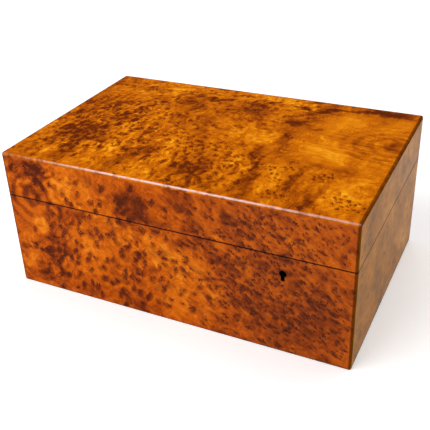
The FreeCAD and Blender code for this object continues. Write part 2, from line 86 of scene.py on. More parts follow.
class Graph:
    """The nodes of one material or of the world, added from the pattern to the shader."""

    def __init__(self, holder: bpy.types.Material | bpy.types.World) -> None:
        """Empties the nodes of a material or of the world.

        Args:
            holder: What holds the nodes.
        """
        self.holder = holder
        self.holder.use_nodes = True
        self.tree = holder.node_tree
        self.tree.nodes.clear()

    def node(self, kind: str, **settings: object) -> bpy.types.Node:
        """Adds a node.

        Args:
            kind: The node's type, without its ShaderNode prefix.
            settings: Properties to set on it.

        Returns:
            The node.
        """
        made = self.tree.nodes.new("ShaderNode" + kind)
        for key, value in settings.items():
            setattr(made, key, value)
        return made

    def feed(self, socket: Socket, value: object) -> None:
        """Links an output to a socket, or sets the socket to a number or colour.

        Args:
            socket: The input.
            value: A socket, a number or a tuple.
        """
        if isinstance(value, bpy.types.NodeSocket):
            self.tree.links.new(value, socket)
        elif isinstance(value, tuple) and socket.type == "RGBA":
            socket.default_value = (*value, 1.0)
        else:
            socket.default_value = value

    def sum(self, operation: str, first: object, second: object = 0.0, third: object = 0.0) -> Socket:
        """Adds a Math node.

        Args:
            operation: What it does, such as MULTIPLY.
            first: First value.
            second: Second value.
            third: Third value, for the operations that use one.

        Returns:
            The result.
        """
        made = self.node("Math", operation=operation)
        for socket, value in zip(made.inputs, (first, second, third)):
            self.feed(socket, value)
        return made.outputs[0]

    def vector(self, operation: str, first: object, second: object = ORIGIN, scale: float = 1.0) -> Socket:
        """Adds a Vector Math node.

        Args:
            operation: What it does, such as ADD.
            first: First vector.
            second: Second vector.
            scale: The factor, for SCALE.

        Returns:
            The resulting vector, or the value for LENGTH.
        """
        made = self.node("VectorMath", operation=operation)
        self.feed(made.inputs[0], first)
        self.feed(made.inputs[1], second)
        made.inputs[3].default_value = scale
        return made.outputs[1 if operation == "LENGTH" else 0]

    def noise(
        self, place: Socket, scale: float, detail: float = 3.0, rough: float = 0.5, twist: float = 0.0
    ) -> tuple[Socket, Socket]:
        """Adds a Noise Texture.

        Args:
            place: Where it is read.
            scale: Lumps per unit of place.
            detail: Octaves.
            rough: How strong the finer octaves are.
            twist: How far the pattern is bent by itself.

        Returns:
            The value and the colour, each from 0 to 1.
        """
        made = self.node("TexNoise")
        self.feed(made.inputs["Vector"], place)
        for key, value in (("Scale", scale), ("Detail", detail), ("Roughness", rough), ("Distortion", twist)):
            made.inputs[key].default_value = value
        return made.outputs[0], made.outputs[1]

    def cells(self, place: Socket, scale: float) -> tuple[Socket, Socket]:
        """Adds a flat Voronoi Texture.

        Args:
            place: Where it is read.
            scale: Cells per unit of place.

        Returns:
            The distance from the nearest cell's middle, in units of the cell, and that cell's own random colour.
        """
        made = self.node("TexVoronoi", voronoi_dimensions="2D")
        self.feed(made.inputs["Vector"], place)
        made.inputs["Scale"].default_value = scale
        return made.outputs["Distance"], made.outputs["Color"]

    def ease(self, value: object, start: object, end: object, low: float = 0.0, high: float = 1.0) -> Socket:
        """Adds a smooth step from low, at start, to high, at end.

        Args:
            value: The value that is eased.
            start: Where it leaves low.
            end: Where it reaches high.
            low: The result up to start.
            high: The result from end on.

        Returns:
            The eased value.
        """
        made = self.node("MapRange", interpolation_type="SMOOTHSTEP")
        for socket, given in zip(made.inputs, (value, start, end, low, high)):
            self.feed(socket, given)
        return made.outputs[0]

    def turned(self, place: Socket, centre: tuple, degrees: float, size: tuple) -> Socket:
        """Adds a Mapping node that reads a pattern in a turned and stretched frame.

        Args:
            place: Where it is read.
            centre: The frame's origin, along, up and through the face.
            degrees: How far its first axis is turned from along towards up.
            size: How long each of its units is.

        Returns:
            The place in that frame.
        """
        made = self.node("Mapping", vector_type="TEXTURE")
        self.feed(made.inputs["Vector"], place)
        made.inputs["Location"].default_value = centre
        made.inputs["Rotation"].default_value = (0.0, 0.0, math.radians(degrees))
        made.inputs["Scale"].default_value = size
        return made.outputs[0]

    def mix(self, share: object, first: object, second: object, way: str = "MIX") -> Socket:
        """Mixes two colours.

        Args:
            share: How much of the second is laid on the first.
            first: The colour below.
            second: The colour on top.
            way: The blend type.

        Returns:
            The mixed colour.
        """
        made = self.node("Mix", data_type="RGBA", blend_type=way)
        for socket, value in ((made.inputs[0], share), (made.inputs[6], first), (made.inputs[7], second)):
            self.feed(socket, value)
        return made.outputs[2]

    def tones(self, value: Socket, stops: tuple[tuple[float, Colour], ...]) -> Socket:
        """Turns a value into a colour by a ramp.

        Args:
            value: The value, 0 to 1.
            stops: Places on the ramp with their colours, in order.

        Returns:
            The colour.
        """
        made = self.node("ValToRGB")
        points = made.color_ramp.elements
        points[0].position, points[-1].position = stops[0][0], stops[-1][0]
        points[0].color, points[-1].color = (*stops[0][1], 1.0), (*stops[-1][1], 1.0)
        for place, colour in stops[1:-1]:
            points.new(place).color = (*colour, 1.0)
        self.feed(made.inputs[0], value)
        return made.outputs[0]

    def painted_keyhole_shade(self, colour: Socket) -> Socket:
        """Paints shade into the keyhole: black inside the hole and on the lock behind it, where they lie in shade.

        The black is full within KEY_REACH of the keyhole's axis and behind the face of the veneer, and none outside.

        Args:
            colour: The colour outside.

        Returns:
            The colour with the blackened hole.
        """
        moved = self.vector("SUBTRACT", self.node("TexCoord").outputs["Object"], KEY_PLACE)
        split = self.node("SeparateXYZ")
        self.feed(split.inputs[0], moved)
        away = self.vector("LENGTH", self.vector("MULTIPLY", moved, (1.0, 0.0, 1.0)))
        near = self.ease(away, KEY_REACH, KEY_REACH * 1.2, 1.0, 0.0)
        behind = self.ease(split.outputs[1], 0.0, 0.0001)
        return self.mix(self.sum("MULTIPLY", near, behind), colour, (0.004, 0.002, 0.001))

    def bump(self, height: Socket, strength: float, depth: float) -> Socket:
        """Turns a height into a normal.

        Args:
            height: The height, 0 to 1.
            strength: How much of it shows.
            depth: Metres from its lowest to its highest.

        Returns:
            The normal.
        """
        made = self.node("Bump")
        made.inputs["Strength"].default_value = strength
        made.inputs["Distance"].default_value = depth
        self.feed(made.inputs["Height"], height)
        return made.outputs[0]

    def shade(self, **inputs: object) -> bpy.types.Material:
        """Ends the material in a Principled shader.

        Args:
            inputs: Its sockets by name, with _ for a space.

        Returns:
            The finished material.
        """
        shader = self.node("BsdfPrincipled")
        for key, value in inputs.items():
            self.feed(shader.inputs[key.replace("_", " ")], value)
        self.tree.links.new(shader.outputs[0], self.node("OutputMaterial").inputs[0])
        return self.holder


class Face(Enum):
    """Which object axes run along, up and through a face of the box."""

    FRONT = "XZY"
    SIDE = "YZX"
    TOP = "XYZ"


@dataclass(frozen=True)
class Patch:
    """A soft-edged patch of the figure, in centimetres on its face.

    strength is how far it darkens (or brightens, among the glows) what is under it.
    """

    along: float
    up: float
    wide: float
    tall: float
    strength: float = 1.0
    turn: float = 0.0


@dataclass(frozen=True)
class Whorl:
    """Grain that closes in rings round a spot, in centimetres on its face."""

    along: float
    up: float
    reach: float
    rings: float
    strength: float = 0.5
    squash: float = 1.0
    turn: float = 0.0


@dataclass(frozen=True)
class Flecks:
    """A field of short dark and pale flecks, as curly grain gives, over some patches or over the whole face.

    turn is the flecks' lie in degrees, and long and thin are their size in centimetres. Those with in_calm also run
    through the calm patches.
    """

    turn: float
    long: float
    thin: float
    strength: float
    where: tuple[Patch, ...] = ()
    in_calm: bool = False


@dataclass(frozen=True)
class Eyes:
    """A scatter of eyes, over some patches or over the whole face.

    rate is in cells per centimetre, size is the largest eye's radius in cells, and share is how many cells hold one.
    The cells lie at turn, in degrees, and are stretched along it. stain, dark and single are how strongly the stain
    beside an eye, the eye itself and a large single eye show.
    """

    rate: float
    size: float
    share: float
    turn: float
    stretch: float = 1.3
    stain: float = 0.12
    dark: float = 0.92
    single: float = 0.8
    where: tuple[Patch, ...] = ()


@dataclass(frozen=True)
class Fade:
    """A tint that comes in along a face, from start to end in centimetres, up to a share."""

    start: float
    end: float
    share: float
    tint: Colour


@dataclass(frozen=True)
class PaintedEdgeHighlight:
    """A painted highlight on the lid's front edge: a pale tint standing in for the lamp's reflection on its rounding,
    with full lacquer there, in centimetres.

    It comes in over left from weak to full, and falls over right to the share faded.
    """

    tint: Colour
    depth: tuple[float, float] = (-9.71, -9.65)
    height: tuple[float, float] = (12.44, 12.50)
    left: tuple[float, float] = (-13.0, -3.0)
    right: tuple[float, float] = (3.0, 14.0)
    weak: float = 0.12
    full: float = 0.86
    faded: float = 0.45

    def mask(self, g: Graph, at: bpy.types.Node, lump: Socket) -> Socket:
        """Says where the highlight is painted on the edge.

        Args:
            g: The material's nodes.
            at: The place on the face, split into along, up and through it.
            lump: The noise that breaks the line up.

        Returns:
            The mask.
        """
        along, depth, height = at.outputs
        mask = g.sum("MULTIPLY", g.ease(depth, *self.depth, 1.0, 0.0), g.ease(height, *self.height))
        mask = g.sum("MULTIPLY", mask, g.ease(lump, 0.38, 0.50, 0.55, 1.0))
        mask = g.sum("MULTIPLY", mask, g.ease(along, *self.left, self.weak, self.full))
        return g.sum("MULTIPLY", mask, g.ease(along, *self.right, 1.0, self.faded))


@dataclass
class Lay:
    """The places on a face that its figure is read from, and the noises that several steps share.

    flat is the plain place in centimetres, lot the same in this veneer's own part of the noise, bent and curly are
    lot along wandering and along curled grain, and near is flat, bent a little. curl is the shift itself. broken
    breaks up the edges of patches, and calm is 0 in the calm patches and 1 elsewhere.
    """

    flat: Socket
    lot: Socket
    bent: Socket
    curly: Socket
    near: Socket
    curl: Socket
    broken: Socket
    calm: Socket | float
    lump: Socket
    fine: Socket


@dataclass(frozen=True)
class BurlFinish:
    """Lacquered burl veneer: the ground, the flecks, the eyes and the patches of one face.

    flow is the lie of the grain in degrees. mottle, lumps and grain are how strongly clouds, lumps and streaks show.
    glows brighten, darks darken, calms quieten the flecks, and marks are pockets of bark. half is how far the face
    reaches along and up, in centimetres, and seed picks this veneer's part of the noise.
    """

    name: str
    face: Face
    ground: tuple[tuple[float, Colour], ...]
    stain_tone: Colour
    eye_tone: Colour
    flow: float
    mottle: float
    lumps: float
    eyes: tuple[Eyes, ...] = ()
    flecks: tuple[Flecks, ...] = ()
    darks: tuple[Patch, ...] = ()
    glows: tuple[Patch, ...] = ()
    calms: tuple[Patch, ...] = ()
    whorls: tuple[Whorl, ...] = ()
    marks: tuple[Patch, ...] = ()
    coat: float = 0.10
    half: tuple[float, float] = (15.0, 20.0)
    grain: float = 1.0
    edge_tone: Colour = (0.050, 0.014, 0.003)
    # a painted highlight along the lid's front edge
    painted_front_highlight: PaintedEdgeHighlight | None = None
    fade: Fade | None = None
    keyed: bool = False
    seed: float = 0.0

    def on_face(self, g: Graph) -> Socket:
        """Reads the place on the face, in centimetres along, up and through it.

        Args:
            g: The material's nodes.

        Returns:
            The place.
        """
        split = g.node("SeparateXYZ")
        g.feed(split.inputs[0], g.node("TexCoord").outputs["Object"])
        joined = g.node("CombineXYZ")
        for socket, axis in zip(joined.inputs, self.face.value):
            g.feed(socket, split.outputs[axis])
        return g.vector("SCALE", joined.outputs[0], scale=CM)

    def patches(self, g: Graph, place: Socket, group: tuple[Patch, ...], ragged: object = 0.0) -> Socket | float:
        """Adds up the patches of a group.

        Each is strength times a smooth step of the distance from its middle, in units of its half width and half
        height, plus the raggedness: full up to 0.3, and gone from 1 on.

        Args:
            g: The material's nodes.
            place: Where they are read.
            group: The patches.
            ragged: What breaks their edges up.

        Returns:
            The sum, or 0 where the group is empty.
        """
        total: Socket | float = 0.0
        for patch in group:
            near = g.turned(place, (patch.along, patch.up, 0.0), patch.turn, (patch.wide, patch.tall, THROUGH))
            reach = g.sum("ADD", g.vector("LENGTH", near), ragged)
            total = g.sum("ADD", g.ease(reach, 0.3, 1.0, patch.strength, 0.0), total)
        return total

    def wander(self, g: Graph, place: Socket, scale: float, reach: float, detail: float) -> Socket:
        """Gives the shift of a place by a noise, as wandering grain does.

        Args:
            g: The material's nodes.
            place: Where the noise is read.
            scale: Lumps of the noise per centimetre.
            reach: How far a place may move, in centimetres.
            detail: Octaves of the noise.

        Returns:
            reach (noise - 1/2).
        """
        return g.vector("SCALE", g.vector("SUBTRACT", g.noise(place, scale, detail)[1], (0.5, 0.5, 0.5)), scale=reach)

    def scatter(self, g: Graph, place: Socket, eyes: Eyes, share: object) -> tuple[Socket, Socket]:
        """Scatters the eyes: a knot of pinholes, or one larger eye, in some of the cells of a Voronoi pattern.

        Args:
            g: The material's nodes.
            place: Where they are read, in the stretched frame.
            eyes: The kind of eye.
            share: Share of the cells that hold one.

        Returns:
            The eyes' mask and the mask of the stain that spreads from them to one side.
        """
        reach, lot = g.cells(place, eyes.rate)
        draw = g.node("SeparateColor")
        g.feed(draw.inputs[0], lot)
        radius = g.sum("MULTIPLY_ADD", draw.outputs[0], eyes.size * 0.6, eyes.size * 0.4)
        there = g.ease(g.sum("SUBTRACT", share, draw.outputs[1]), -0.02, 0.04)
        ratio = g.sum("DIVIDE", reach, radius)
        pin = g.ease(g.cells(g.vector("ADD", place, (5.1, 2.3, 0.0)), eyes.rate * 3.2)[0], 0.24, 0.40, 1.0, 0.0)
        knot = g.sum("MULTIPLY", pin, g.ease(ratio, 1.5, 2.0, 1.0, 0.0))
        single = g.ease(ratio, 0.6, 1.0, 1.0, 0.0)
        eye = g.sum("MULTIPLY", g.sum("MAXIMUM", knot, g.sum("MULTIPLY", single, eyes.single)), there)

        beside, other = g.cells(g.vector("ADD", place, (0.15 / eyes.rate, 0.22 / eyes.rate, 0.0)), eyes.rate)
        again = g.node("SeparateColor")
        g.feed(again.inputs[0], other)
        held = g.ease(g.sum("SUBTRACT", share, again.outputs[1]), -0.02, 0.04)
        spread = g.sum("MULTIPLY", g.ease(beside, 0.0, 0.66, 1.0, 0.0), held)
        return eye, spread

    def lay(self, g: Graph) -> Lay:
        """Reads the places and noises that the steps of the figure share.

        Args:
            g: The material's nodes.

        Returns:
            The places and noises.
        """
        flat = self.on_face(g)
        lot = g.vector("ADD", flat, (self.seed, self.seed * 0.7, self.seed * 1.3))
        drift = self.wander(g, lot, 0.22, 2.4, 1.0)
        curl = self.wander(g, lot, 0.8, 0.8, 2.0)
        crisp = self.wander(g, lot, 3.6, 0.20, 2.0)
        bent = g.vector("ADD", lot, g.vector("ADD", drift, curl))
        curly = g.vector("ADD", lot, g.vector("ADD", curl, crisp))
        near = g.vector("ADD", flat, g.vector("ADD", g.vector("SCALE", drift, scale=0.2), curl))
        broken = g.sum("MULTIPLY_ADD", g.noise(g.vector("ADD", bent, crisp), 1.3, 3.0, 0.6)[0], 1.5, -0.75)
        calm = g.ease(self.patches(g, near, self.calms), 0.0, 0.8, 1.0, 0.0) if self.calms else 1.0
        lump = g.noise(curly, 1.5, 3.0, 0.6, 0.4)[0]
        fine = g.noise(g.turned(bent, ORIGIN, self.flow, (1.8, 0.12, 1.0)), 1.0, 4.0, 0.6)[0]
        return Lay(flat, lot, bent, curly, near, curl, broken, calm, lump, fine)

    def ground_level(self, g: Graph, lay: Lay) -> Socket:
        """Lays out how pale the wood is before its flecks and eyes.

        It is 1/2 plus clouds, lumps, glows less darks, grain lines, streaks and the rings of the whorls.

        Args:
            g: The material's nodes.
            lay: The shared places and noises.

        Returns:
            The level, from 0 for the darkest wood to 1 for the palest.
        """
        broad = g.noise(g.turned(lay.bent, ORIGIN, self.flow, (2.6, 1.3, 2.0)), 0.5, 4.0, 0.55)[0]
        level = g.sum("MULTIPLY_ADD", g.sum("SUBTRACT", broad, 0.5), self.mottle, 0.5)
        loose = g.sum("MULTIPLY_ADD", lay.calm, 0.8, 0.2)
        uneven = g.sum("MULTIPLY", g.sum("SUBTRACT", lay.lump, 0.5), loose)
        level = g.sum("MULTIPLY_ADD", uneven, self.lumps, level)
        level = g.sum("ADD", level, self.patches(g, lay.near, self.glows, lay.broken))
        level = g.sum("SUBTRACT", level, self.patches(g, lay.near, self.darks, lay.broken))
        lines = g.sum("SINE", g.sum("MULTIPLY", g.noise(lay.bent, 0.30, 1.0)[0], 120.0))
        level = g.sum("MULTIPLY_ADD", lines, 0.035 * self.grain, level)
        streaks = g.sum("MULTIPLY", g.sum("SUBTRACT", lay.fine, 0.5), loose)
        level = g.sum("MULTIPLY_ADD", streaks, 0.36 * self.grain, level)
        swirling = g.vector("ADD", lay.flat, g.vector("SCALE", lay.curl, scale=0.9))
        for whorl in self.whorls:
            size = (whorl.reach, whorl.reach * whorl.squash, THROUGH)
            away = g.vector("LENGTH", g.turned(swirling, (whorl.along, whorl.up, 0.0), whorl.turn, size))
            wave = g.sum("SINE", g.sum("MULTIPLY", away, whorl.rings * 2.0 * math.pi))
            ring = g.ease(wave, -0.6, 1.0, 0.4, -0.6)
            inside = g.ease(away, 0.2, 1.0, whorl.strength, 0.0)
            level = g.sum("MULTIPLY_ADD", g.sum("MULTIPLY", ring, inside), 0.2, level)
        return level

    def flecked(self, g: Graph, lay: Lay, level: Socket) -> Socket:
        """Lays the flecks over the ground: pale and dark ones, and the relief that curled grain seems to have.

        Args:
            g: The material's nodes.
            lay: The shared places and noises.
            level: The ground's level.

        Returns:
            The level with the flecks.
        """
        for field in self.flecks:
            laid = g.turned(lay.curly, ORIGIN, field.turn, (field.long, field.thin, 1.0))
            fleck, _ = g.noise(laid, 1.0, 5.0, 0.68, 0.6)
            beside, _ = g.noise(g.vector("ADD", laid, (0.0, 0.40, 0.0)), 1.0, 5.0, 0.68, 0.6)
            pale, dark = g.ease(fleck, 0.49, 0.33, 0.0, 0.26), g.ease(fleck, 0.49, 0.61, 0.0, 0.46)
            depth = g.sum("MULTIPLY_ADD", g.sum("SUBTRACT", fleck, beside), 1.3, g.sum("SUBTRACT", pale, dark))
            here = self.patches(g, lay.near, field.where, lay.broken) if field.where else 1.0
            here = g.sum("MULTIPLY", here, 1.0 if field.in_calm else lay.calm)
            level = g.sum("MULTIPLY_ADD", depth, g.sum("MULTIPLY", here, field.strength), level)
        return level

    def eyed(self, g: Graph, lay: Lay) -> tuple[Socket | float, Socket | float]:
        """Lays out all the eyes of the face.

        Args:
            g: The material's nodes.
            lay: The shared places and noises.

        Returns:
            The eyes' mask and the sum of their stains.
        """
        sway = g.vector("ADD", g.vector("SCALE", lay.curl, scale=0.5), self.wander(g, lay.lot, 5.0, 0.16, 2.0))
        shaky = g.vector("ADD", lay.lot, sway)
        eye: Socket | float = 0.0
        stain: Socket | float = 0.0
        for eyes in self.eyes:
            share = g.ease(g.noise(lay.lot, 0.6, 1.0)[0], 0.36, 0.60, eyes.share * 0.55, eyes.share)
            here = self.patches(g, lay.near, eyes.where) if eyes.where else lay.calm
            held = g.turned(shaky, ORIGIN, eyes.turn, (eyes.stretch, 1.0, 1.0))
            marks, spread = self.scatter(g, held, eyes, g.sum("MULTIPLY", here, share))
            eye = g.sum("MAXIMUM", g.sum("MULTIPLY", marks, eyes.dark), eye)
            stain = g.sum("MULTIPLY_ADD", spread, eyes.stain, stain)
        return eye, stain

    def edged(self, g: Graph, lay: Lay, at: bpy.types.Node, colour: Socket) -> tuple[Socket, Socket]:
        """Darkens the colour near the eased edges and thins the lacquer there, paints shade along the foot, and
        paints a highlight on the lid's front edge.

        Args:
            g: The material's nodes.
            lay: The shared places and noises.
            at: The place on the face, split into along, up and through it.
            colour: The colour inside the edges.

        Returns:
            The colour and the weight of the lacquer.
        """
        along, up, _ = at.outputs
        ends = g.ease(g.sum("SUBTRACT", g.sum("ABSOLUTE", along), self.half[0]), *EDGE_BAND)
        back = g.ease(g.sum("SUBTRACT", up, self.half[1]), *EDGE_BAND)
        # Painted shade along the foot, where the box meets the floor.
        foot = 0.0 if self.face is Face.TOP else g.ease(up, *FOOT_BAND, 1.0, 0.0)
        rim = g.sum("MAXIMUM", foot, g.sum("MAXIMUM", ends, back))
        colour = g.mix(g.sum("MULTIPLY", rim, EDGE_SHARE), colour, self.edge_tone)
        coat = g.sum("MULTIPLY_ADD", rim, -self.coat, self.coat)
        # Painted highlight: a pale tint on the lid's front edge that stands in for the lamp's reflection on its
        # rounding.
        if self.painted_front_highlight:
            painted_highlight_mask = self.painted_front_highlight.mask(g, at, lay.lump)
            colour = g.mix(painted_highlight_mask, colour, self.painted_front_highlight.tint)
            coat = g.sum("MAXIMUM", coat, painted_highlight_mask)
        return colour, coat

    def build(self) -> bpy.types.Material:
        """Lays the figure out and puts it under lacquer.

        Returns:
            The material.
        """
        g = Graph(bpy.data.materials.new(self.name))
        lay = self.lay(g)
        level = self.flecked(g, lay, self.ground_level(g, lay))
        eye, stain = self.eyed(g, lay)
        at = g.node("SeparateXYZ")
        g.feed(at.inputs[0], lay.flat)
        colour = g.tones(g.sum("SUBTRACT", level, stain), self.ground)
        if self.fade:
            tinted = g.ease(at.outputs[0], self.fade.start, self.fade.end, 0.0, self.fade.share)
            colour = g.mix(tinted, colour, self.fade.tint)
        colour = g.mix(stain, colour, self.stain_tone)
        colour = g.mix(eye, colour, self.eye_tone)
        # Painted shade along the cut between base and lid, where the gap lies in shade.
        if self.face is not Face.TOP:
            away = g.sum("ABSOLUTE", g.sum("SUBTRACT", at.outputs[1], SEAM_UP))
            colour = g.mix(g.ease(away, *SEAM_BAND, 0.9, 0.0), colour, SEAM_SHADE_TONE)
        colour = g.mix(self.patches(g, lay.near, self.marks), colour, self.eye_tone)
        colour, coat = self.edged(g, lay, at, colour)
        # Painted shade inside the keyhole.
        if self.keyed:
            colour = g.painted_keyhole_shade(colour)
        relief = g.sum("MULTIPLY_ADD", eye, -0.5, lay.fine)
        ripple = g.noise(lay.flat, 0.6, 1.0)[0]
        return g.shade(
            Base_Color=colour,
            Roughness=g.ease(lay.fine, 0.2, 0.8, 0.30, 0.42),
            Normal=g.bump(relief, 0.15, 0.0002),
            Coat_Normal=g.bump(ripple, 0.25, 0.0004),
            Specular_IOR_Level=0.0,
            Coat_Weight=coat,
            Coat_Roughness=0.05,
        )


# The colour of the painted shade in the cut between base and lid.
SEAM_SHADE_TONE = tone(34, 14, 8)
AMBER = (
    (0.04, tone(98, 36, 0)), (0.22, tone(136, 57, 0)), (0.38, tone(172, 82, 0)), (0.54, tone(205, 107, 0)),
    (0.70, tone(230, 134, 6)), (0.92, tone(252, 172, 30)),
)
RUSSET = (
    (0.03, tone(86, 29, 0)), (0.20, tone(126, 46, 0)), (0.36, tone(166, 67, 0)), (0.50, tone(200, 89, 0)),
    (0.68, tone(225, 111, 3)), (0.92, tone(246, 146, 22)),
)
# The right veneer's honey ground, made paler to paint in part of the pale sheen that face catches.
HONEY_AND_SHEEN = (
    (0.05, tone(136, 84, 8)), (0.24, tone(158, 98, 8)), (0.42, tone(184, 116, 12)), (0.56, tone(200, 126, 22)),
    (0.72, tone(216, 142, 40)), (0.92, tone(232, 164, 72)),
)

TOP_BURL = BurlFinish(
    name="burl_top", face=Face.TOP, ground=AMBER, stain_tone=tone(120, 50, 0), eye_tone=tone(90, 24, 0),
    flow=86.0, mottle=0.75, lumps=0.6,
    eyes=(
        Eyes(2.6, 0.34, 1.0, -70.0, stain=0.14, where=(
            Patch(7.6, -4.4, 1.7, 2.6), Patch(10.4, -4.2, 1.3, 1.6), Patch(13.0, -7.6, 2.0, 1.7, turn=-30.0),
            Patch(8.0, -8.3, 1.5, 2.0),
        )),
        Eyes(2.0, 0.26, 0.8, -70.0, stain=0.14, where=(
            Patch(-1.5, -2.2, 3.4, 2.6), Patch(2.0, -4.6, 4.8, 4.4), Patch(-8.0, -1.0, 9.0, 9.0, 0.7),
        )),
    ),
    flecks=(
        Flecks(84.0, 0.80, 0.34, 1.2, (Patch(-10.0, -2.0, 11.0, 11.0),)),
        Flecks(-9.0, 4.6, 0.22, 0.42, (Patch(11.6, 1.6, 6.8, 7.0, turn=-6.0),), in_calm=True),
        Flecks(26.0, 1.0, 0.42, 1.0, (Patch(-6.0, 8.4, 14.0, 5.0, turn=4.0), Patch(5.0, 8.0, 5.4, 4.0, turn=10.0))),
        Flecks(-82.0, 1.0, 0.34, 0.9, (Patch(0.8, -6.4, 8.6, 7.4),)),
        Flecks(-86.0, 1.6, 0.34, 0.4, (Patch(10.4, -8.2, 6.4, 4.2),)),
        Flecks(-30.0, 0.8, 0.36, 0.6, (Patch(1.0, 2.6, 7.6, 5.4),)),
    ),
    darks=(
        Patch(13.0, 8.9, 3.4, 1.0, 0.40, -6.0), Patch(9.2, 8.5, 3.6, 0.5, 0.36, 12.0),
        Patch(7.0, 7.4, 1.8, 0.7, 0.30, 40.0), Patch(5.3, 4.4, 1.4, 1.0, 0.30),
        Patch(7.6, 3.6, 0.9, 0.4, 0.26, 20.0), Patch(5.7, 0.8, 0.9, 2.4, 0.30, 10.0),
        Patch(4.5, -2.6, 0.8, 2.8, 0.26, 12.0), Patch(5.6, -6.4, 1.0, 4.2, 0.26, 6.0),
        Patch(1.2, -6.0, 0.9, 4.0, 0.16, 4.0), Patch(-4.8, -6.4, 1.0, 3.6, 0.16, 6.0),
        Patch(8.7, -5.6, 0.6, 3.0, 0.26, -6.0), Patch(11.0, -7.6, 0.6, 3.0, 0.28, -10.0),
        Patch(-4.6, 5.0, 3.4, 2.4, 0.16, -20.0), Patch(1.2, 5.8, 2.6, 3.0, 0.18, 40.0),
        Patch(-9.3, 0.2, 2.6, 1.2, 0.16, 20.0), Patch(-11.0, -3.8, 2.2, 1.7, 0.20),
        Patch(-8.2, -4.6, 2.2, 0.9, 0.24, 25.0), Patch(-10.4, -7.0, 1.1, 3.4, 0.20),
        Patch(14.2, 2.6, 1.0, 2.0, 0.20), Patch(11.0, -2.8, 4.0, 0.6, 0.12, -4.0), Patch(1.0, -7.4, 3.6, 2.8, 0.14),
        Patch(-12.6, -1.0, 4.0, 10.0, 0.10),
    ),
    glows=(
        Patch(-7.0, 7.4, 7.0, 1.7, 0.16, 20.0), Patch(-2.6, -3.4, 1.8, 5.8, 0.16, 8.0),
        Patch(-7.0, -5.4, 1.2, 4.4, 0.12, 6.0), Patch(10.6, 5.2, 5.4, 3.2, 0.14),
        Patch(9.8, -0.2, 6.4, 3.0, 0.17, -6.0), Patch(3.2, 0.8, 3.4, 2.2, 0.16), Patch(-11.6, -7.2, 0.8, 3.6, 0.18),
        Patch(7.0, -6.6, 1.5, 4.0, 0.20), Patch(12.8, -6.8, 3.0, 3.4, 0.18), Patch(2.4, 9.0, 3.2, 1.2, 0.18),
    ),
    calms=(Patch(12.0, 2.6, 7.2, 8.0, 1.6),),
    whorls=(Whorl(14.6, 2.4, 7.5, 8.0, 0.85, 0.72), Whorl(13.8, -5.6, 3.8, 4.0, 0.7, 0.9)),
    # The front edge's pale tint is a painted highlight.
    coat=0.12, half=(15.0, 9.8), painted_front_highlight=PaintedEdgeHighlight(tone(246, 200, 188)), seed=3.0,
)

FRONT_BURL = BurlFinish(
    name="burl_front", face=Face.FRONT, ground=RUSSET, stain_tone=tone(106, 40, 6), eye_tone=tone(64, 26, 16),
    flow=-34.0, mottle=0.5, lumps=0.6,
    eyes=(
        Eyes(1.5, 0.24, 0.80, 58.0, 1.4, 0.30, 0.85, 0.34, where=(Patch(-5.4, 5.0, 10.0, 8.5),)),
        Eyes(1.9, 0.24, 1.0, -40.0, 1.7, 0.17, 0.9, 0.7, where=(Patch(7.4, 6.4, 12.0, 10.5),)),
        Eyes(3.0, 0.26, 0.9, -45.0, 1.6, 0.06, 0.85, 0.9, where=(
            Patch(10.0, 4.4, 8.5, 7.0, turn=-30.0), Patch(9.0, 10.8, 9.5, 3.2),
        )),
        Eyes(0.9, 0.30, 0.9, -38.0, 1.5, 0.10, 0.32, where=(Patch(3.0, 6.4, 16.0, 10.5),)),
    ),
    flecks=(
        Flecks(-36.0, 0.8, 0.34, 0.45, (Patch(6.0, 6.0, 14.0, 11.0),)),
        Flecks(62.0, 0.8, 0.40, 0.5, (Patch(-7.0, 5.0, 9.0, 9.0),)),
        Flecks(38.0, 0.9, 0.40, 0.9, (Patch(-11.5, 10.6, 6.0, 4.0), Patch(-12.8, 3.4, 5.2, 5.4, 0.8))),
    ),
    darks=(
        Patch(-2.8, 10.3, 2.0, 2.2, 0.30, 10.0), Patch(-13.2, 10.7, 2.6, 3.0, 0.14),
        Patch(-9.2, 7.6, 2.0, 1.3, 0.22, 20.0), Patch(1.4, 11.4, 1.8, 1.5, 0.20), Patch(-11.4, 10.4, 1.0, 3.4, 0.30),
        Patch(-11.0, 4.4, 1.1, 4.4, 0.20, -6.0), Patch(-12.3, 1.4, 2.0, 1.3, 0.20, 20.0),
        Patch(-9.4, 4.4, 1.6, 1.2, 0.14, 20.0), Patch(12.8, 3.8, 2.4, 2.6, 0.20),
        Patch(5.4, 5.6, 6.4, 1.8, 0.14, -42.0), Patch(9.8, 2.0, 5.6, 2.6, 0.12, -30.0),
        Patch(9.0, 7.6, 2.8, 2.0, 0.10, -20.0), Patch(-2.6, 1.0, 3.4, 1.8, 0.16), Patch(-6.8, 1.0, 2.4, 1.6, 0.16),
    ),
    glows=(
        Patch(-11.9, 6.4, 1.5, 1.3, 0.26), Patch(-6.4, 5.8, 5.4, 6.0, 0.18), Patch(-13.6, 4.6, 1.6, 1.0, 0.16, 20.0),
        Patch(-13.8, 2.6, 1.2, 1.6, 0.16), Patch(0.8, 6.6, 6.4, 2.4, 0.22, -12.0), Patch(0.6, 2.8, 6.4, 4.0, 0.20),
        Patch(-8.6, 11.0, 4.0, 2.6, 0.22),
    ),
    calms=(Patch(-12.6, 7.4, 2.8, 3.4, 0.9), Patch(8.9, 7.7, 1.0, 0.9, 0.9)),
    whorls=(Whorl(-12.6, 9.0, 4.4, 5.0, 1.6, 1.1, 20.0), Whorl(-12.2, 6.4, 1.6, 1.6, 1.2)),
    marks=(Patch(-11.15, 7.3, 0.14, 0.55, 0.8, 8.0), Patch(-10.9, 7.9, 0.3, 0.14, 0.6, 30.0)),
    fade=Fade(-2.0, 10.0, 0.22, tone(156, 78, 36)), coat=0.12, keyed=True, seed=11.0,
)
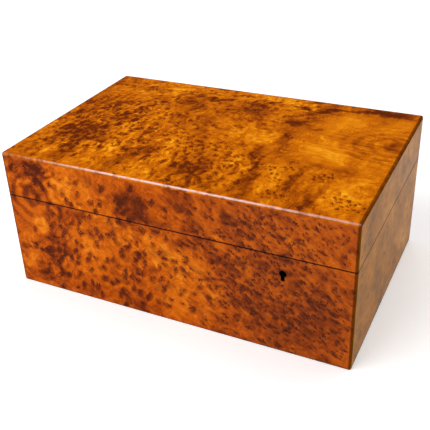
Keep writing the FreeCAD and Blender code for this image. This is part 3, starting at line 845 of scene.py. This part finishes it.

# Right side: its paler ground is partly painted sheen.
SIDE_BURL = BurlFinish(
    name="burl_right", face=Face.SIDE, ground=HONEY_AND_SHEEN, stain_tone=tone(146, 98, 24), eye_tone=tone(108, 62, 14),
    flow=-34.0, mottle=1.4, lumps=0.3, grain=0.35,
    eyes=(Eyes(1.3, 0.24, 0.3, -30.0, dark=0.3),), flecks=(Flecks(-36.0, 2.4, 0.7, 0.22),),
    darks=(
        Patch(-3.0, 5.0, 3.4, 2.8, 0.18, -20.0), Patch(2.4, 10.4, 3.0, 1.8, 0.16), Patch(-7.4, 8.6, 2.0, 3.0, 0.12),
    ),
    glows=(Patch(6.0, 3.2, 4.6, 3.4, 0.14, -20.0),),
    coat=0.26, half=(9.8, 20.0), seed=23.0,
)

LEFT_BURL = BurlFinish(
    name="burl_left", face=Face.SIDE, ground=RUSSET, stain_tone=tone(100, 40, 6), eye_tone=tone(60, 22, 9),
    flow=32.0, mottle=0.6, lumps=0.7, eyes=(Eyes(1.4, 0.23, 0.9, 38.0, stain=0.16), Eyes(2.4, 0.22, 0.4, 40.0)),
    flecks=(Flecks(34.0, 0.8, 0.4, 0.45),),
    darks=(Patch(-4.0, 9.4, 3.0, 2.4, 0.22, 20.0), Patch(5.0, 3.0, 3.4, 2.2, 0.20, -20.0)),
    glows=(Patch(1.0, 6.0, 5.0, 3.2, 0.18, 10.0),),
    whorls=(Whorl(3.6, 8.4, 3.0, 3.2, 0.9),),
    coat=0.14, half=(9.8, 20.0), seed=37.0,
)

BACK_BURL = BurlFinish(
    name="burl_back", face=Face.FRONT, ground=RUSSET, stain_tone=tone(98, 38, 5), eye_tone=tone(60, 22, 9),
    flow=30.0, mottle=0.6, lumps=0.7,
    eyes=(
        Eyes(1.35, 0.23, 0.95, 35.0, stain=0.16),
        Eyes(2.4, 0.22, 0.8, 40.0, where=(Patch(7.0, 5.0, 8.0, 6.0),)),
    ),
    flecks=(Flecks(30.0, 0.8, 0.4, 0.45),),
    darks=(
        Patch(6.0, 9.8, 3.8, 2.3, 0.22, -10.0), Patch(-9.0, 4.0, 3.4, 2.8, 0.22, 20.0),
        Patch(1.0, 2.4, 4.4, 1.9, 0.16, 10.0),
    ),
    glows=(Patch(-3.0, 7.6, 6.0, 3.2, 0.18, 10.0), Patch(10.0, 4.0, 3.8, 3.8, 0.16)),
    whorls=(Whorl(-10.4, 9.0, 3.2, 3.4, 0.9),),
    coat=0.14, seed=53.0,
)


@dataclass(frozen=True)
class PlainWoodFinish:
    """Straight-grained wood: growth bands and short pores along one axis."""

    name: str
    along: str
    early: Colour
    late: Colour
    pore: Colour
    bands: float
    gloss: float
    keyed: bool = False

    def build(self) -> bpy.types.Material:
        """Draws the bands, the pores and the plane's light marks.

        Returns:
            The material.
        """
        g = Graph(bpy.data.materials.new(self.name))
        turn = {"X": (1.0, 0.06, 0.06), "Y": (0.06, 1.0, 0.06), "Z": (0.06, 0.06, 1.0)}[self.along]
        place = g.node("Mapping", vector_type="TEXTURE")
        g.feed(place.inputs["Vector"], g.vector("SCALE", g.node("TexCoord").outputs["Object"], scale=CM))
        place.inputs["Scale"].default_value = tuple(16.0 * share for share in turn)
        wander = g.noise(place.outputs[0], 0.8, 2.0)[0]
        rings = g.sum("SINE", g.sum("MULTIPLY", wander, self.bands * 2.0 * math.pi))
        band = g.ease(rings, -0.9, 0.95)
        colour = g.mix(band, self.early, self.late)
        shade = g.noise(place.outputs[0], 2.2, 3.0, 0.6)[0]
        colour = g.mix(g.ease(shade, 0.3, 0.8, 0.0, 0.45), colour, self.late)
        pores = g.ease(g.noise(place.outputs[0], 22.0, 3.0, 0.7)[0], 0.58, 0.72)
        colour = g.mix(g.sum("MULTIPLY", pores, 0.55), colour, self.pore)
        # Painted shade inside the keyhole.
        if self.keyed:
            colour = g.painted_keyhole_shade(colour)
        return g.shade(
            Base_Color=colour,
            Roughness=g.ease(shade, 0.2, 0.8, self.gloss, self.gloss + 0.15),
            Normal=g.bump(g.sum("MULTIPLY_ADD", pores, -1.0, band), 0.35, 0.0002),
            Specular_IOR_Level=0.35,
        )


@dataclass(frozen=True)
class MetalFinish:
    """Worked metal: drawn lines, dulled patches and small dull spots."""

    name: str
    bright: Colour
    dull: Colour
    line_along: str
    rough: float
    keyed: bool = False

    def build(self) -> bpy.types.Material:
        """Draws the metal.

        Returns:
            The material.
        """
        g = Graph(bpy.data.materials.new(self.name))
        place = g.vector("SCALE", g.node("TexCoord").outputs["Object"], scale=CM)
        reach = {"X": (4.0, 0.05, 0.05), "Y": (0.05, 4.0, 0.05), "Z": (0.05, 0.05, 4.0)}[self.line_along]
        lines = g.noise(g.turned(place, ORIGIN, 0.0, reach), 1.0, 2.0)[0]
        film = g.noise(place, 1.6, 4.0, 0.6)[0]
        spots = g.ease(g.noise(place, 9.0, 2.0)[0], 0.62, 0.74)
        colour = g.mix(g.ease(film, 0.38, 0.68, 0.0, 0.8), self.bright, self.dull)
        colour = g.mix(g.sum("MULTIPLY", spots, 0.35), colour, self.dull)
        # Painted shade inside the keyhole.
        if self.keyed:
            colour = g.painted_keyhole_shade(colour)
        worn = g.sum("MULTIPLY_ADD", lines, 0.16, g.sum("MULTIPLY_ADD", film, 0.18, self.rough - 0.12))
        return g.shade(
            Base_Color=colour, Metallic=1.0, Roughness=worn, Normal=g.bump(lines, 0.2, 0.00005)
        )


@dataclass(frozen=True)
class FeltFinish:
    """Pressed wool felt: matted fibres, soft mottling and a nap that catches the light at its edge."""

    name: str
    deep: Colour
    pale: Colour

    def build(self) -> bpy.types.Material:
        """Draws the felt on its own flat map, in metres.

        Returns:
            The material.
        """
        g = Graph(bpy.data.materials.new(self.name))
        place = g.vector("SCALE", g.node("UVMap", uv_map="cloth").outputs[0], scale=CM)
        bent = g.vector("ADD", place, g.vector("SCALE", g.noise(place, 7.0, 2.0)[1], scale=0.35))
        fibres: Socket | float = 0.0
        for turn, long in ((25.0, 0.30), (-48.0, 0.26), (95.0, 0.24)):
            strand = g.noise(g.turned(bent, ORIGIN, turn, (long, 0.02, 1.0)), 1.0, 2.0)[0]
            fibres = g.sum("MAXIMUM", strand, fibres)
        mottle = g.noise(place, 1.3, 3.0)[0]
        share = g.sum("MULTIPLY_ADD", g.ease(fibres, 0.5, 0.8), 0.7, g.ease(mottle, 0.35, 0.7, 0.0, 0.3))
        return g.shade(
            Base_Color=g.mix(share, self.deep, self.pale),
            Roughness=g.ease(fibres, 0.4, 0.8, 0.98, 0.88),
            Normal=g.bump(fibres, 0.6, 0.0004),
            Specular_IOR_Level=0.15,
            Sheen_Weight=0.35,
            Sheen_Roughness=0.45,
        )


Dressed = tuple[tuple[BurlFinish | PlainWoodFinish | MetalFinish, tuple[str, ...]], ...]


@dataclass
class Dressing:
    """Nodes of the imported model, group by group, with the finish of each group."""

    pieces: Dressed = ()

    def build(self) -> None:
        """Gives each group its finish."""
        for finish, nodes in self.pieces:
            material = finish.build()
            for name in nodes:
                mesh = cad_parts[name].data
                mesh.materials.clear()
                mesh.materials.append(material)
            LOG.info("%s: %s on %s", type(self).__name__, finish.name, ", ".join(nodes))


@dataclass
class VeneeredShell(Dressing):
    """The outside of the box: burl skins, of which base and lid share the figure that was cut through."""

    pieces: Dressed = (
        (TOP_BURL, ("lid_top_veneer",)),
        (FRONT_BURL, ("base_front_veneer", "lid_front_veneer")),
        (BACK_BURL, ("base_back_veneer", "lid_back_veneer")),
        (LEFT_BURL, ("base_left_veneer", "lid_left_veneer")),
        (SIDE_BURL, ("base_right_veneer", "lid_right_veneer")),
    )


CORE_TONES = (tone(196, 160, 112), tone(172, 128, 80), tone(128, 88, 52))
CEDAR_TONES = (tone(188, 126, 84), tone(150, 84, 52), tone(112, 58, 34))
BRASS = ((0.80, 0.56, 0.24), (0.50, 0.32, 0.13))
TURNED_BRASS = ((0.84, 0.60, 0.27), (0.42, 0.26, 0.10))
BLUED_STEEL = ((0.30, 0.33, 0.42), (0.18, 0.19, 0.24))


@dataclass
class Carcase(Dressing):
    """The walls under the veneer, the panels and the cedar that lines the inside, with their grain lengthwise."""

    pieces: Dressed = (
        (PlainWoodFinish("keyed_core_along_x", "X", *CORE_TONES, 3.0, 0.6, keyed=True), ("base_front_wall",)),
        (
            PlainWoodFinish("core_along_x", "X", *CORE_TONES, 3.0, 0.6),
            ("base_back_wall", "base_floor", "lid_front_wall", "lid_back_wall", "lid_top_panel"),
        ),
        (
            PlainWoodFinish("core_along_y", "Y", *CORE_TONES, 3.0, 0.6),
            ("base_left_wall", "base_right_wall", "lid_left_wall", "lid_right_wall"),
        ),
        (
            PlainWoodFinish("cedar_along_x", "X", *CEDAR_TONES, 5.0, 0.42),
            ("liner_front", "liner_back", "lid_inner_veneer"),
        ),
        (PlainWoodFinish("cedar_along_y", "Y", *CEDAR_TONES, 5.0, 0.42), ("liner_left", "liner_right")),
    )


@dataclass
class Metalwork(Dressing):
    """The hinges, the lock and its link plate."""

    pieces: Dressed = (
        (
            MetalFinish("brass_plate", *BRASS, "X", 0.30),
            (
                "hinge_left_base_leaf", "hinge_left_lid_leaf", "hinge_right_base_leaf", "hinge_right_lid_leaf",
                "lock_bolt", "bolt_stump", "link_plate",
            ),
        ),
        (
            MetalFinish("brass_turned", *TURNED_BRASS, "Z", 0.26),
            (
                "hinge_left_pin", "hinge_right_pin", "hinge_base_screws", "hinge_lid_screws", "lock_screws",
                "link_plate_screws",
            ),
        ),
        (MetalFinish("blued_spring", *BLUED_STEEL, "X", 0.34), ("bolt_spring",)),
        (MetalFinish("brass_lock", *BRASS, "X", 0.34, keyed=True), ("lock_case", "lock_cap", "lock_drill_pin")),
    )


@dataclass
class FeltSheet:
    """A sheet of felt cut to fit, in metres."""

    name: str
    node: str
    slot: str
    finish: FeltFinish
    rests_on: tuple[str, ...]
    soften: float = 0.0006
    ripple: float = 0.0
    step: float = 0.004

    def lines(self, half: float) -> np.ndarray:
        """Spaces the grid's lines along one side, close together at the two cut edges.

        Args:
            half: Half the side's length.

        Returns:
            Places from -half to half.
        """
        edge = self.soften * (1.0 - np.cos(np.linspace(0.0, math.pi / 2.0, 6)))
        inner = half - self.soften
        middle = np.linspace(-inner, inner, max(2, round(2.0 * inner / self.step)))
        return np.concatenate([-half + edge[:-1], middle, (half - edge[:-1])[::-1]])

    def build(self) -> bpy.types.Object:
        """Models the sheet in the place of its CAD node, and lays it down.

        The upper face is high - soften (1 - sqrt(1 - e^2)), with e falling from 1 at the cut edge to 0 at soften
        from it, less a soft dimpling of two crossed sine waves. The lower face is flat, and a wall joins the two.

        Returns:
            The sheet.
        """
        low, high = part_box(self.node)
        centre, half = (low + high) / 2.0, (high - low) / 2.0
        xs, ys = self.lines(half.x), self.lines(half.y)
        x, y = np.meshgrid(xs, ys, indexing="ij")
        inset = np.minimum(half.x - np.abs(x), half.y - np.abs(y))
        edge = np.clip(1.0 - inset / self.soften, 0.0, 1.0)
        one, other = np.sin(x * 61.0 + 2.0 * np.sin(y * 23.0)), np.sin(y * 74.0 + 2.0 * np.sin(x * 31.0))
        wave = 0.5 + 0.25 * (one + other)
        fade = np.clip(inset / (6.0 * self.soften), 0.0, 1.0)
        top = high.z - self.soften * (1.0 - np.sqrt(1.0 - edge**2)) - self.ripple * wave * fade
        upper = np.stack([x + centre.x, y + centre.y, top], axis=-1).reshape(-1, 3)
        lower = upper.copy()
        lower[:, 2] = low.z
        count = len(upper)
        ids = np.arange(count).reshape(x.shape)
        up = np.stack([ids[:-1, :-1], ids[1:, :-1], ids[1:, 1:], ids[:-1, 1:]], axis=-1).reshape(-1, 4)
        rim = np.concatenate([ids[:, 0], ids[-1, 1:], ids[-2::-1, -1], ids[0, -2:0:-1]])
        ahead = np.roll(rim, -1)
        wall = np.stack([rim + count, ahead + count, ahead, rim], axis=-1)
        faces = np.concatenate([up, up[:, ::-1] + count, wall])
        mesh = bpy.data.meshes.new(self.name)
        mesh.from_pydata(np.concatenate([upper, lower]).tolist(), [], faces.tolist())
        corners = np.empty(len(mesh.loops), dtype=np.int32)
        mesh.loops.foreach_get("vertex_index", corners)
        flat = np.concatenate([upper, lower])[corners][:, :2]
        mesh.uv_layers.new(name="cloth").data.foreach_set("uv", flat.astype(np.float32).ravel())
        mesh.polygons.foreach_set("use_smooth", np.ones(len(faces), dtype=bool))
        mesh.materials.append(self.finish.build())
        mesh.update()
        sheet = bpy.data.objects.new(self.name, mesh)
        bpy.context.scene.collection.objects.link(sheet)
        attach(sheet, "base")
        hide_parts(self.node)
        LOG.info("%s: %d faces", self.name, len(faces))
        return sheet


@dataclass
class Studio:
    """A pale floor, soft light and the camera."""

    floor_half: float = 7.0
    world: float = 0.22
    backdrop: float = 0.90
    floor_lift: float = 0.36
    far_lift: float = 0.80
    lens: float = 60.868
    lens_shift: tuple[float, float] = (0.0233, -0.0349)
    yaw: float = 27.375
    pitch: float = 29.271
    roll: float = -2.618
    viewpoint: tuple[float, float, float] = (0.24541, -0.50263, 0.37577)

    def background_rays(self, g: Graph) -> Socket:
        """Tells the rays that see the background from those that light the object.

        Args:
            g: The nodes.

        Returns:
            1 for camera, glossy and transmission rays, and 0 for the rest.
        """
        path = g.node("LightPath")
        seen = g.sum("MAXIMUM", path.outputs["Is Camera Ray"], path.outputs["Is Glossy Ray"])
        return g.sum("MAXIMUM", seen, path.outputs["Is Transmission Ray"])

    def floor(self) -> None:
        """Lays the floor. What looks at it sees a little more light than it gives, and it keeps its shadows."""
        half = self.floor_half
        mesh = bpy.data.meshes.new("floor")
        corners = [(-half, -half, 0.0), (half, -half, 0.0), (half, half, 0.0), (-half, half, 0.0)]
        mesh.from_pydata(corners, [], [(0, 1, 2, 3)])
        g = Graph(bpy.data.materials.new("pale_floor"))
        diffuse, glow, both = g.node("BsdfDiffuse"), g.node("Emission"), g.node("AddShader")
        place = g.node("TexCoord").outputs["Object"]
        speck = g.noise(place, 3.0, 3.0)[0]
        lift = g.ease(g.vector("LENGTH", place), 0.35, 2.2, self.floor_lift, self.far_lift)
        g.feed(diffuse.inputs["Color"], g.mix(speck, (0.90, 0.90, 0.90), (0.93, 0.93, 0.93)))
        g.feed(glow.inputs["Strength"], g.sum("MULTIPLY", self.background_rays(g), lift))
        g.feed(both.inputs[0], diffuse.outputs[0])
        g.feed(both.inputs[1], glow.outputs[0])
        g.feed(g.node("OutputMaterial").inputs[0], both.outputs[0])
        mesh.materials.append(g.holder)
        floor = bpy.data.objects.new("floor", mesh)
        bpy.context.scene.collection.objects.link(floor)

    def sky(self) -> None:
        """Lights the scene evenly from all round, with a pale ring low down as the backdrop."""
        world = bpy.data.worlds.new("studio")
        bpy.context.scene.world = world
        g = Graph(world)
        split = g.node("SeparateXYZ")
        g.feed(split.inputs[0], g.node("TexCoord").outputs["Generated"])
        glow = g.node("Background")
        glow.inputs["Color"].default_value = (1.0, 1.0, 1.0, 1.0)
        g.feed(glow.inputs["Strength"], g.ease(split.outputs[2], 0.10, 0.32, self.backdrop, self.world))
        g.feed(g.node("OutputWorld").inputs[0], glow.outputs[0])

    def lamp(self, name: str, place: Vector, aim: Vector, size: tuple[float, float], power: float) -> None:
        """Hangs a soft box.

        Args:
            name: Its name.
            place: Where it hangs.
            aim: What it points at.
            size: Its width and height.
            power: Watts.
        """
        data = bpy.data.lights.new(name, "AREA")
        data.shape, data.energy = "RECTANGLE", power
        data.size, data.size_y = size
        lamp = bpy.data.objects.new(name, data)
        bpy.context.scene.collection.objects.link(lamp)
        lamp.location = place
        lamp.rotation_euler = (aim - place).to_track_quat("-Z", "Y").to_euler()

    def camera(self) -> None:
        """Stands the camera where the picture was taken from, in front of the right corner and above."""
        yaw, pitch, roll = (math.radians(angle) for angle in (self.yaw, self.pitch, self.roll))
        ahead = Vector((-math.sin(yaw) * math.cos(pitch), math.cos(yaw) * math.cos(pitch), -math.sin(pitch)))
        right = Vector((math.cos(yaw), math.sin(yaw), 0.0))
        up = right.cross(ahead)
        side = math.cos(roll) * right + math.sin(roll) * up
        over = math.cos(roll) * up - math.sin(roll) * right
        data = bpy.data.cameras.new("camera")
        data.lens, data.sensor_width = self.lens, 36.0
        data.shift_x, data.shift_y = self.lens_shift
        camera = bpy.data.objects.new("camera", data)
        bpy.context.scene.collection.objects.link(camera)
        turn = Matrix((side, over, -ahead)).transposed()
        camera.matrix_world = Matrix.Translation(self.viewpoint) @ turn.to_4x4()
        bpy.context.scene.camera = camera

    def build(self) -> None:
        """Sets up the floor, the light and the camera."""
        self.floor()
        self.sky()
        middle = Vector((0.0, 0.0, 0.07))
        self.lamp("key", Vector((-0.55, -0.75, 1.15)), middle, (1.2, 0.5), 13.0)
        self.lamp("overhead", Vector((0.2, 0.5, 1.5)), middle, (1.4, 1.0), 9.5)
        self.camera()
        bpy.context.scene.view_settings.view_transform = "Standard"
        LOG.info("studio ready")


def main() -> None:
    """Builds the studio and dresses the box, piece by piece."""
    logging.basicConfig(level=logging.INFO, format="%(name)s: %(message)s")
    Studio().build()
    VeneeredShell().build()
    Carcase().build()
    Metalwork().build()
    lining = FeltFinish("lining_felt", tone(92, 20, 22), tone(136, 42, 40))
    underside = FeltFinish("underside_felt", tone(22, 44, 30), tone(48, 78, 54))
    floor = ("base_floor",)
    FeltSheet("lining_felt_sheet", "floor_felt", "lining_felt", lining, floor, ripple=0.0002).build()
    FeltSheet("underside_felt_sheet", "base_felt", "underside_felt", underside, floor, soften=0.0004).build()


if __name__ == "__main__":
    main()
